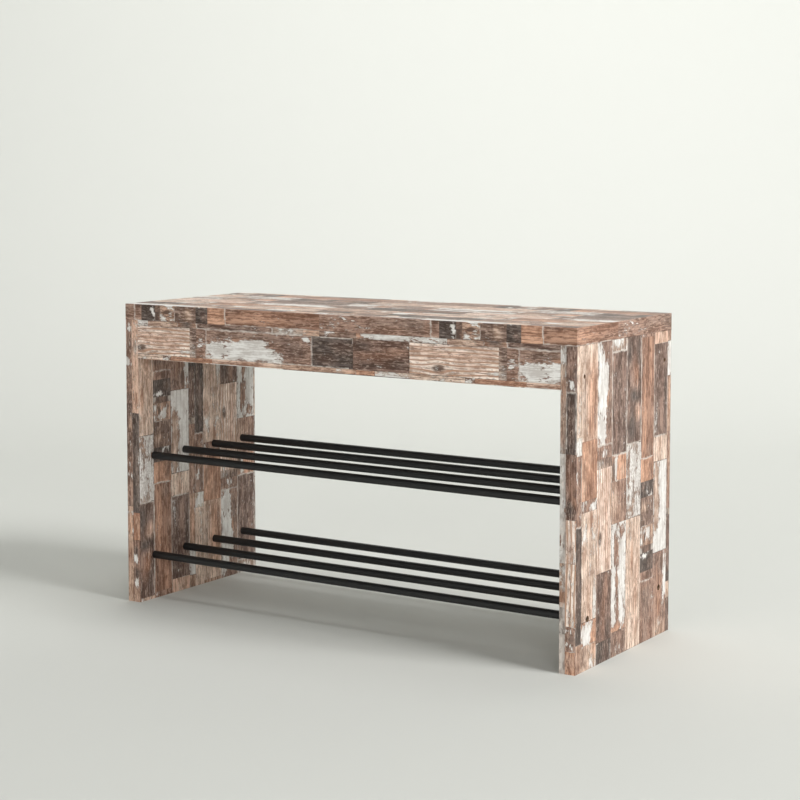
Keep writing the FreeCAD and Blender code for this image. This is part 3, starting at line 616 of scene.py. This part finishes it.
class Graph:
    """A material's node tree, with short calls for the nodes used here."""

    def __init__(self, name):
        self.material = bpy.data.materials.new(name)
        self.material.use_nodes = True
        self.tree = self.material.node_tree
        self.tree.nodes.clear()
        self.shader = self.tree.nodes.new("ShaderNodeBsdfPrincipled")
        output = self.tree.nodes.new("ShaderNodeOutputMaterial")
        self.tree.links.new(self.shader.outputs["BSDF"], output.inputs["Surface"])

    def put(self, socket, value):
        if isinstance(value, bpy.types.NodeSocket):
            self.tree.links.new(value, socket)
        else:
            socket.default_value = value

    def math(self, operation, a, b=0.0, c=0.0, clamp=False):
        node = self.tree.nodes.new("ShaderNodeMath")
        node.operation = operation
        node.use_clamp = clamp
        for socket, value in zip(node.inputs, (a, b, c)):
            self.put(socket, value)
        return node.outputs[0]

    def vector(self, x, y, z):
        node = self.tree.nodes.new("ShaderNodeCombineXYZ")
        for socket, value in zip(node.inputs, (x, y, z)):
            self.put(socket, value)
        return node.outputs[0]

    def split(self, value):
        node = self.tree.nodes.new("ShaderNodeSeparateXYZ")
        self.put(node.inputs[0], value)
        return node.outputs[0], node.outputs[1], node.outputs[2]

    def attribute(self, name, output="Vector"):
        node = self.tree.nodes.new("ShaderNodeAttribute")
        node.attribute_name = name
        return node.outputs[output]

    def position(self):
        node = self.tree.nodes.new("ShaderNodeTexCoord")
        return node.outputs["Object"]

    def noise(self, vector, scale=1.0, detail=2.0, roughness=0.5, swirl=0.0):
        node = self.tree.nodes.new("ShaderNodeTexNoise")
        self.put(node.inputs["Distortion"], swirl)
        self.put(node.inputs["Vector"], vector)
        self.put(node.inputs["Scale"], scale)
        self.put(node.inputs["Detail"], detail)
        self.put(node.inputs["Roughness"], roughness)
        return node.outputs["Fac"]

    def cracks(self, vector, scale=1.0):
        node = self.tree.nodes.new("ShaderNodeTexVoronoi")
        node.feature = "DISTANCE_TO_EDGE"
        self.put(node.inputs["Vector"], vector)
        self.put(node.inputs["Scale"], scale)
        return node.outputs["Distance"]

    def fade(self, value, start, end, low=0.0, high=1.0):
        """Goes smoothly from low to high while value goes from start to end."""
        node = self.tree.nodes.new("ShaderNodeMapRange")
        node.interpolation_type = "SMOOTHSTEP"
        for socket, given in zip(node.inputs, (value, start, end, low, high)):
            self.put(socket, given)
        return node.outputs[0]

    def mix(self, factor, a, b, blend="MIX"):
        node = self.tree.nodes.new("ShaderNodeMix")
        node.data_type = "RGBA"
        node.blend_type = blend
        node.clamp_factor = True
        self.put(node.inputs[0], factor)
        self.put(node.inputs[6], a)
        self.put(node.inputs[7], b)
        return node.outputs[2]

    def bump(self, height, strength, distance):
        node = self.tree.nodes.new("ShaderNodeBump")
        self.put(node.inputs["Height"], height)
        self.put(node.inputs["Strength"], strength)
        self.put(node.inputs["Distance"], distance)
        self.put(self.shader.inputs["Normal"], node.outputs[0])


def colour(r, g, b):
    return (*linear((r, g, b)), 1.0)


# How the wood's tone changes in dark and light grain, pale dust, dark pits and growth rings.
DARK_TINT = (0.56, 0.48, 0.43, 1.0)
LIGHT_TINT = (1.34, 1.42, 1.47, 1.0)
DUST_TINT = (1.9, 1.85, 1.8, 1.0)
PIT_TINT = (0.42, 0.34, 0.30, 1.0)
RING_TINT = (0.62, 0.42, 0.31, 1.0)


def decor_material():
    """Printed planks: grain that bends round knots, flaking paint, crackle and worn joints."""
    g = Graph("plank_decor")
    along, across, seed = g.split(g.attribute("tile"))
    knot_along, knot_across, knot_size = g.split(g.attribute("knot"))
    edge_across, edge_along, joint_kind = g.split(g.attribute("border"))
    paint, grain, crackle = g.split(g.attribute("wear"))
    rings = g.attribute("wear", "Alpha")
    tone = g.attribute("tone", "Color")

    def pattern(per_metre_along, per_metre_across, offset, detail, roughness, swirl=0.0, place=across):
        """Noise drawn out along the grain. offset keeps the patterns apart."""
        vector = g.vector(g.math("MULTIPLY", along, per_metre_along),
                          g.math("MULTIPLY", place, per_metre_across), g.math("ADD", seed, offset))
        return g.noise(vector, 1.0, detail, roughness, swirl)

    # Rings round a knot, and the grain pushed aside by it
    ring_along = g.math("DIVIDE", g.math("MULTIPLY", knot_along, 0.5), knot_size)
    ring_across = g.math("DIVIDE", knot_across, knot_size)
    ring = g.math("SQRT", g.math("ADD", g.math("MULTIPLY", ring_along, ring_along),
                                 g.math("MULTIPLY", ring_across, ring_across)))
    push = g.fade(ring, 0.4, 5.0, 0.7, 0.0)
    bent = g.math("SUBTRACT", across, g.math("MULTIPLY", knot_across, push))

    fine = pattern(34.0, 560.0, 0.0, 3.0, 0.65, place=bent)
    streak = pattern(6.0, 210.0, 10.0, 3.0, 0.6, place=bent)
    blotch = pattern(38.0, 70.0, 20.0, 5.0, 0.68, swirl=0.4)
    value = g.math("ADD", g.math("MULTIPLY", fine, 0.40),
                   g.math("ADD", g.math("MULTIPLY", streak, 0.25), g.math("MULTIPLY", blotch, 0.35)))
    contrast = g.math("MULTIPLY", g.math("SUBTRACT", value, 0.5), g.math("MULTIPLY", grain, 10.5))
    lightness = g.math("ADD", contrast, 0.5, clamp=True)
    dark_tone = g.mix(1.0, tone, DARK_TINT, "MULTIPLY")
    light_tone = g.mix(1.0, tone, LIGHT_TINT, "MULTIPLY")
    wood = g.mix(lightness, dark_tone, light_tone)

    # Pale dust and dark pits in the wood
    dust = g.fade(pattern(85.0, 340.0, 40.0, 4.0, 0.75), 0.53, 0.60, 0.0, 0.7)
    pits = g.fade(pattern(65.0, 290.0, 50.0, 4.0, 0.75), 0.46, 0.39, 0.0, 0.8)
    dust = g.math("MULTIPLY", dust, g.fade(grain, 0.9, 1.6, 0.45, 1.0))
    dust_tone = g.mix(0.45, g.mix(1.0, tone, DUST_TINT, "MULTIPLY"), colour(212, 194, 180))
    wood = g.mix(dust, wood, dust_tone)
    wood = g.mix(pits, wood, g.mix(1.0, tone, PIT_TINT, "MULTIPLY"))

    # Growth rings as thin warm lines
    drift = g.math("MULTIPLY", pattern(7.0, 22.0, 30.0, 2.0, 0.5, place=bent), 2.6)
    phase = g.math("ADD", g.math("DIVIDE", bent, RING_SPACING), drift)
    wave = g.math("ADD", g.math("SINE", g.math("MULTIPLY", phase, 2 * math.pi)),
                  g.math("SUBTRACT", streak, 0.5))
    lines = g.math("MULTIPLY", g.fade(wave, 0.0, 0.8), rings)
    wood = g.mix(lines, wood, g.mix(1.0, tone, RING_TINT, "MULTIPLY"))

    # A knot's dark heart, ragged at its rim
    ragged = g.math("ADD", ring, g.math("MULTIPLY", g.math("SUBTRACT", fine, 0.5), 2.4))
    heart = g.fade(ragged, 0.7, 1.9, 0.85, 0.0)
    wood = g.mix(heart, wood, colour(88, 68, 58))

    # Old paint in flakes that break up into grit, with painted shade in a dark rim round each flake
    coarse = pattern(42.0, 105.0, 60.0, 3.0, 0.6)
    grit = pattern(130.0, 430.0, 70.0, 4.0, 0.75)
    ragged_paint = g.math("ADD", g.math("MULTIPLY", coarse, 0.5), g.math("MULTIPLY", grit, 0.5))
    cover = g.math("ADD", paint, g.math("MULTIPLY", g.math("SUBTRACT", ragged_paint, 0.5), 3.2))
    flaked = g.fade(cover, 0.48, 0.66)
    rim = g.fade(cover, 0.34, 0.48, 0.0, 0.4)
    white = g.mix(lightness, colour(202, 195, 189), colour(235, 232, 228))
    cracks = g.cracks(g.vector(g.math("MULTIPLY", along, 150.0), g.math("MULTIPLY", across, 330.0), seed))
    cracked = g.math("MULTIPLY", g.fade(cracks, 0.02, 0.16, 0.6, 0.0), crackle)
    white = g.mix(cracked, white, colour(140, 122, 111))
    # Painted shade: a thin dark rim just outside each paint flake, as if cast by its edge.
    surface = g.mix(rim, wood, colour(84, 66, 57))
    surface = g.mix(flaked, surface, white)

    # Joints between planks: dark or whitish, uneven, or hidden
    rough = pattern(140.0, 140.0, 80.0, 3.0, 0.6)
    nearest = g.math("MINIMUM", edge_across, edge_along)
    uneven = g.math("ADD", nearest, g.math("MULTIPLY", g.math("SUBTRACT", rough, 0.45), 0.004))
    shown = g.fade(joint_kind, -0.8, -0.2)
    width = g.fade(joint_kind, 0.5, 1.0, 0.0012, 0.0026)
    shown = g.math("MULTIPLY", shown, g.fade(coarse, 0.40, 0.56, 0.3, 1.0))
    joint = g.math("MULTIPLY", g.fade(uneven, 0.0002, width, 0.95, 0.0), shown)
    joint_tone = g.mix(g.fade(g.math("ADD", joint_kind, g.math("SUBTRACT", coarse, 0.5)), 0.35, 0.65),
                       colour(84, 66, 58), colour(222, 212, 203))
    surface = g.mix(joint, surface, joint_tone)
    seam = g.fade(nearest, 0.0001, 0.0006, 0.35, 0.0)
    surface = g.mix(seam, surface, colour(92, 72, 62))
    g.put(g.shader.inputs["Base Color"], surface)

    height = g.math("ADD", g.math("MULTIPLY", value, 0.7), g.math("MULTIPLY", flaked, 0.35))
    height = g.math("SUBTRACT", height, g.math("ADD", joint, g.math("MULTIPLY", cracked, 0.3)))
    g.bump(height, 0.2, 0.0004)
    g.put(g.shader.inputs["Roughness"], g.math("ADD", 0.42, g.math("MULTIPLY", fine, 0.18)))
    g.shader.inputs["Specular IOR Level"].default_value = 0.4
    return g.material


def core_with_hole_shade_material():
    """The boards' bare core: pressed wood chips, toned darker than bare chipboard as painted shade for the
    hole walls; the bare feet get the same darker tone.
    """
    g = Graph("chipboard_with_hole_shade")
    place = g.position()
    chips = g.noise(place, 420.0, 4.0, 0.7)
    coarse = g.noise(place, 130.0, 2.0)
    # The chip tones below are darker than bare chipboard: painted shade for the hole walls.
    tone = g.mix(g.fade(chips, 0.35, 0.65), colour(96, 72, 53), colour(146, 117, 88))
    tone = g.mix(g.fade(coarse, 0.55, 0.7, 0.0, 0.5), tone, colour(74, 54, 40))
    g.put(g.shader.inputs["Base Color"], tone)
    g.bump(chips, 0.5, 0.0006)
    g.put(g.shader.inputs["Roughness"], g.fade(chips, 0.3, 0.7, 0.85, 0.7))
    return g.material


def powder_coat_material():
    """Satin black powder coat with a faint orange peel."""
    g = Graph("black_powder_coat")
    place = g.position()
    peel = g.noise(place, 900.0, 2.0)
    drift = g.noise(place, 30.0, 2.0)
    g.put(g.shader.inputs["Base Color"], g.mix(drift, colour(12, 12, 13), colour(19, 19, 20)))
    g.bump(peel, 0.12, 0.0003)
    g.put(g.shader.inputs["Roughness"], g.fade(peel, 0.3, 0.7, 0.38, 0.5))
    return g.material


def black_oxide_material():
    """Blackened steel of screws and bolts."""
    g = Graph("black_oxide")
    place = g.position()
    mottle = g.noise(place, 500.0, 3.0)
    g.put(g.shader.inputs["Base Color"], g.mix(mottle, colour(20, 20, 21), colour(44, 43, 43)))
    g.put(g.shader.inputs["Roughness"], g.fade(mottle, 0.3, 0.7, 0.32, 0.5))
    g.shader.inputs["Metallic"].default_value = 0.6
    g.bump(mottle, 0.1, 0.0002)
    return g.material


def zinc_material():
    """Zinc-plated cams, studs and plugs."""
    g = Graph("zinc_plate")
    x, y, z = g.split(g.position())
    brushed = g.noise(g.vector(g.math("MULTIPLY", x, 300.0), g.math("MULTIPLY", y, 1500.0),
                               g.math("MULTIPLY", z, 1500.0)), 1.0, 3.0)
    g.put(g.shader.inputs["Base Color"], g.mix(brushed, colour(150, 152, 152), colour(196, 198, 198)))
    g.put(g.shader.inputs["Roughness"], g.fade(brushed, 0.3, 0.7, 0.28, 0.42))
    g.shader.inputs["Metallic"].default_value = 1.0
    return g.material


def beech_material():
    """Plain beech of the dowels."""
    g = Graph("beech")
    x, y, z = g.split(g.position())
    fibres = g.noise(g.vector(g.math("MULTIPLY", x, 400.0), g.math("MULTIPLY", y, 700.0),
                              g.math("MULTIPLY", z, 120.0)), 1.0, 3.0)
    g.put(g.shader.inputs["Base Color"], g.mix(fibres, colour(186, 146, 106), colour(222, 188, 150)))
    g.put(g.shader.inputs["Roughness"], g.fade(fibres, 0.3, 0.7, 0.55, 0.7))
    g.bump(fibres, 0.2, 0.0002)
    return g.material


def studio_material():
    """The pale seamless floor and backdrop."""
    g = Graph("studio")
    g.put(g.shader.inputs["Base Color"], colour(*STUDIO_TONE))
    g.put(g.shader.inputs["Roughness"], 0.9)
    g.shader.inputs["Specular IOR Level"].default_value = 0.1
    return g.material


# ---------------------------------------------------------------------------
# The bench
# ---------------------------------------------------------------------------

# Which corners of a board are rounded, for each axis: its low end and its high end.
NEITHER, BOTH, LOW, HIGH = (0, 0), (1, 1), (1, 0), (0, 1)
SQUARE = (NEITHER, NEITHER, NEITHER)
BARE_FOOT = ((Z, -1),)

# Name, CAD node, look, rounded corners, bare faces, and for a panel its side of the bench.
BOARDS = (
    ("seat_board", "top_board", Look(TILE, X, 1, -23, Y, 1, 107), SQUARE, (), 0),
    ("seat_front_edge", "top_front_band", Look(TILE, X, 1, -78, Z, 1, -250), (NEITHER, LOW, BOTH), (), 0),
    ("seat_back_edge", "top_back_band", Look(TILE, X, -1, 200, Z, 1, -340), (NEITHER, HIGH, BOTH), (), 0),
    ("seat_right_edge", "top_right_band", Look(TILE, Y, 1, 472, Z, 1, -250), (HIGH, NEITHER, BOTH), (), 0),
    ("seat_left_edge", "top_left_band", Look(TILE, Y, -1, -79, Z, 1, -250), (LOW, NEITHER, BOTH), (), 0),
    ("right_panel", "right_side_panel", Look(TILE, Z, 1, 0, Y, 1, 150), SQUARE, BARE_FOOT, 1),
    ("left_panel", "left_side_panel", Look(TILE, Z, -1, 455, Y, 1, 315), SQUARE, BARE_FOOT, -1),
    ("right_panel_front_edge", "right_front_band", Look(RIGHT_EDGE, Z, -1, 475, X, 1, -375, False),
     (BOTH, LOW, NEITHER), BARE_FOOT, 0),
    ("left_panel_front_edge", "left_front_band", Look(LEFT_EDGE, Z, -1, 475, X, 1, 400, False),
     (BOTH, LOW, NEITHER), BARE_FOOT, 0),
    ("right_panel_back_edge", "right_back_band", Look(LEFT_EDGE, Z, -1, 475, X, -1, 400, False),
     (BOTH, HIGH, NEITHER), BARE_FOOT, 0),
    ("left_panel_back_edge", "left_back_band", Look(RIGHT_EDGE, Z, -1, 475, X, -1, -375, False),
     (BOTH, HIGH, NEITHER), BARE_FOOT, 0),
    ("front_rail", "front_apron", Look(TILE, X, 1, -5, Z, 1, -335), SQUARE, (), 0),
    ("back_rail", "back_apron", Look(TILE, X, -1, 120, Z, 1, -180), SQUARE, (), 0),
    ("front_rail_edge", "front_apron_band", Look(TILE, X, 1, -5, Y, 1, 220), (NEITHER, BOTH, LOW), (), 0),
    ("back_rail_edge", "back_apron_band", Look(TILE, X, -1, 120, Y, 1, 0), (NEITHER, BOTH, LOW), (), 0),
)


def make_boards():
    noise.seed_set(NOISE_SEED)
    decor = decor_material()
    core = core_with_hole_shade_material()
    for name, node, look, rounded, core_sides, side in BOARDS:
        holes = panel_holes(side) if side else ()
        add_board(name, node, look, decor, core, rounded, holes, core_sides)


# Millimetres. Holes start a little off the panel's faces, so that the cut is clean.
OUTSIDE, INSIDE = 400.5, 374.5
SCREW_FLOOR, BOLT_FLOOR, ROD_FLOOR, CAM_FLOOR = 392.99, 391.99, 387, 392.5
SCREW_RADIUS, BOLT_RADIUS, SEAT_RADIUS, CAM_RADIUS = 3.0, 4.5, 6.2, 7.5
SCREW_PLACES = tuple((y, 407.5) for y in (-127.5, 127.5))
BOLT_PLACES = tuple((y, 71) for y in (-114, 114))
ROD_PLACES = tuple((y, z) for y in (-114, -38, 38, 114) for z in (71, 231))
CAM_PLACES = tuple((y, 416) for y in (-52, 52))


def panel_holes(side):
    """The holes that show on one side panel: side is 1 on the right and -1 on the left."""
    kinds = (
        (OUTSIDE, SCREW_FLOOR, SCREW_RADIUS, SCREW_PLACES),
        (OUTSIDE, BOLT_FLOOR, BOLT_RADIUS, BOLT_PLACES),
        (INSIDE, ROD_FLOOR, SEAT_RADIUS, ROD_PLACES),
        (INSIDE, CAM_FLOOR, CAM_RADIUS, CAM_PLACES),
    )
    holes = []
    for start, floor, radius, places in kinds:
        for y, z in places:
            holes.append(((start * side * MM, floor * side * MM), y * MM, z * MM, radius * MM))
    return holes


def finish_hardware(nodes):
    """Gives every CAD node that stays its material."""
    coat = powder_coat_material()
    zinc = zinc_material()
    oxide = black_oxide_material()
    beech = beech_material()
    chosen = {"rod_plugs": zinc, "cam_nuts": zinc, "cam_studs": zinc,
              "rod_bolts": oxide, "apron_screws": oxide,
              "apron_end_dowels": beech, "top_side_dowels": beech, "top_apron_dowels": beech}
    for name, node in nodes.items():
        material = coat if "_rod_" in name else chosen.get(name)
        if material is None:
            continue
        node.data.materials.clear()
        node.data.materials.append(material)


# ---------------------------------------------------------------------------
# Studio and camera
# ---------------------------------------------------------------------------

STUDIO_TONE = (209, 210, 205)
# The studio's walls, in metres from the bench's middle, square to the camera.
BACK_WALL = 3.2
FRONT_WALL = -8.0
SIDE_WALL = 8.0
WALL_HEIGHT = 7.0
BEND_RADIUS = 1.6
BEND_STEPS = 24
LEVEL_STRIP = 0.4  # level floor before the bend, so that its shading starts without a line
CORNER_RADIUS = 2.4
CORNER_STEPS = 12
# The walls at each corner, in the order that a ring passes them.
CORNERS = (
    (SIDE_WALL, BACK_WALL),
    (-SIDE_WALL, BACK_WALL),
    (-SIDE_WALL, FRONT_WALL),
    (SIDE_WALL, FRONT_WALL),
)


def studio_ring(inset, height):
    """A closed line round the studio at one height, this far in from the walls."""
    away = Vector((-math.sin(CAMERA_AZIMUTH), math.cos(CAMERA_AZIMUTH), 0))
    across = Vector((math.cos(CAMERA_AZIMUTH), math.sin(CAMERA_AZIMUTH), 0))
    radius = CORNER_RADIUS - inset
    points = []
    for quarter, (side, end) in enumerate(CORNERS):
        middle_side = side - math.copysign(CORNER_RADIUS, side)
        middle_end = end - math.copysign(CORNER_RADIUS, end)
        for step in range(CORNER_STEPS + 1):
            turn = math.pi / 2 * (quarter + step / CORNER_STEPS)
            sideways = middle_side + radius * math.cos(turn)
            distance = middle_end + radius * math.sin(turn)
            points.append(across * sideways + away * distance + Vector((0, 0, height)))
    return points


def make_studio():
    """A floor that bends up into a wall on every side, so that no view looks out of the studio."""
    turns = [math.pi / 2 * k / BEND_STEPS for k in range(BEND_STEPS + 1)]
    rings = [studio_ring(BEND_RADIUS + LEVEL_STRIP, 0)]
    rings += [studio_ring(BEND_RADIUS * (1 - math.sin(t)), BEND_RADIUS * (1 - math.cos(t))) for t in turns]
    rings.append(studio_ring(0, WALL_HEIGHT))
    size = len(rings[0])
    faces = [list(range(size))]
    for row in range(len(rings) - 1):
        for k in range(size):
            after = (k + 1) % size
            low, high = row * size, (row + 1) * size
            faces.append([low + k, high + k, high + after, low + after])
    mesh = bpy.data.meshes.new("studio")
    mesh.from_pydata([point for ring in rings for point in ring], [], faces)
    mesh.shade_smooth()
    mesh.materials.append(studio_material())
    studio = bpy.data.objects.new("studio", mesh)
    bpy.context.scene.collection.objects.link(studio)


CAMERA_PLACE = (1.5479, -2.3519, 0.6962)
CAMERA_AZIMUTH = math.radians(33.029)
CAMERA_PITCH = math.radians(4.242)
CAMERA_LENS = 83.24
CAMERA_SHIFT = -0.125


def make_camera():
    data = bpy.data.cameras.new("camera")
    data.lens = CAMERA_LENS
    data.sensor_width = 36.0
    data.shift_y = CAMERA_SHIFT
    data.clip_end = 50.0
    camera = bpy.data.objects.new("camera", data)
    camera.location = CAMERA_PLACE
    camera.rotation_euler = (math.radians(90) - CAMERA_PITCH, 0, CAMERA_AZIMUTH)
    bpy.context.scene.collection.objects.link(camera)
    bpy.context.scene.camera = camera


def add_light(name, place, target, size, power):
    data = bpy.data.lights.new(name, "AREA")
    data.shape = "DISK"
    data.size = size
    data.energy = power
    light = bpy.data.objects.new(name, data)
    light.location = place
    light.rotation_euler = (Vector(target) - Vector(place)).to_track_quat("-Z", "Y").to_euler()
    bpy.context.scene.collection.objects.link(light)


def make_lights():
    add_light("key", (5.5, 0.0, 4.6), (0, 0, 0.2), 3.0, 412.0)
    add_light("front_fill", (0.4, -5.8, 2.0), (0, 0, 0.3), 3.0, 80.0)
    add_light("right_fill", (3.9, -4.4, 2.0), (0, 0, 0.3), 3.0, 100.0)
    add_light("backdrop_glow", (-0.3, 1.0, 4.0), (-2.1, 3.2, 2.2), 2.5, 82.0)
    world = bpy.data.worlds.new("studio_light")
    world.use_nodes = True
    background = world.node_tree.nodes["Background"]
    background.inputs["Color"].default_value = (0.93, 0.95, 0.93, 1.0)
    background.inputs["Strength"].default_value = 0.03
    bpy.context.scene.world = world
    bpy.context.scene.view_settings.view_transform = "Standard"


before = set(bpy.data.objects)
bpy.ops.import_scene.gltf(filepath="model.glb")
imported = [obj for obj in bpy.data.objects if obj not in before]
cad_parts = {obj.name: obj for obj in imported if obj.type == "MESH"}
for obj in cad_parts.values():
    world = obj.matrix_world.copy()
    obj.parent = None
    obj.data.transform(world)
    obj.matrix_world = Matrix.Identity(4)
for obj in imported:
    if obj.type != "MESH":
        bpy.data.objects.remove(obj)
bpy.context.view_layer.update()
make_camera()
make_studio()
make_lights()
make_boards()
finish_hardware(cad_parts)
